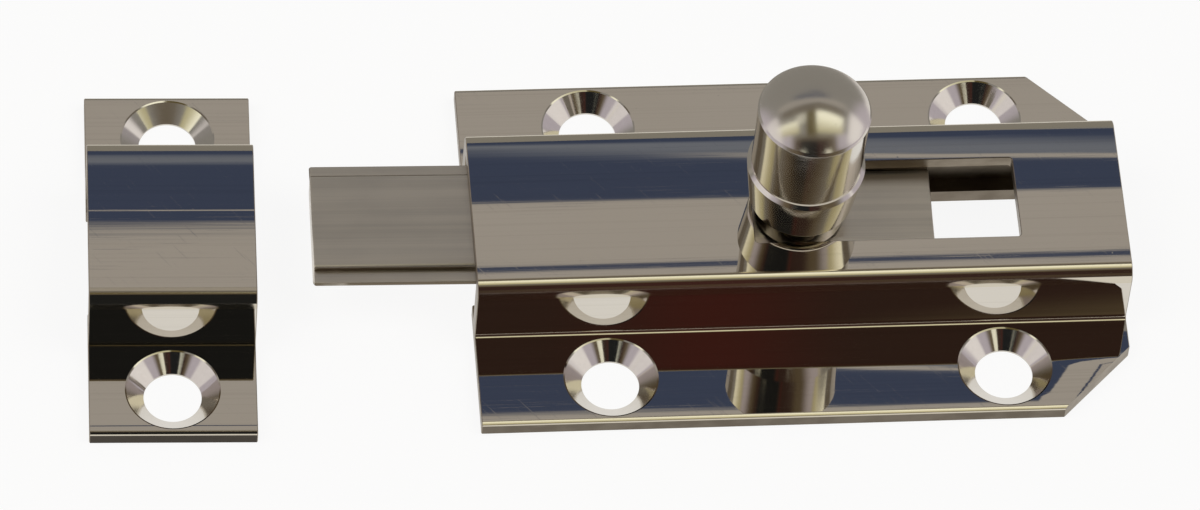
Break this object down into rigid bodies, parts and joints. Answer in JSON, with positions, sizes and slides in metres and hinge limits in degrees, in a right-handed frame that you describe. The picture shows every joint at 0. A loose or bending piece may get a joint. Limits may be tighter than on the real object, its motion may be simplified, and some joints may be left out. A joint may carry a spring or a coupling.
{
  "type": "cupboard bolt",
  "caption": "Surface cupboard bolt: an extruded case with countersunk flanges, a sliding bar worked by a domed knob, and a separate keeper.",
  "frame": {"origin": "bottom centre of the whole set, on the plane of the door", "axes": "+X from the keeper towards the cut-off corners of the case, along the bar; +Y across the flanges; +Z out of the door, up the knob"},
  "size_m": [0.0792, 0.0316, 0.0205],
  "materials": {
    "polished_nickel": "mirror polished nickel plate on brass",
    "satin_nickel": "drawn satin nickel plate, brushed along the bar",
    "spring_steel": "rolled spring strip, dull"
  },
  "bodies": {
    "case": {"case": "polished_nickel", "keeper": "polished_nickel"},
    "bolt": {"slide_bar": "satin_nickel", "knob": "polished_nickel", "bow_spring": "spring_steel"}
  },
  "joints": [
    {"name": "bolt_slide", "type": "slide", "parent": "case", "child": "bolt", "axis": [1, 0, 0], "range_m": [0, 0.013]}
  ]
}
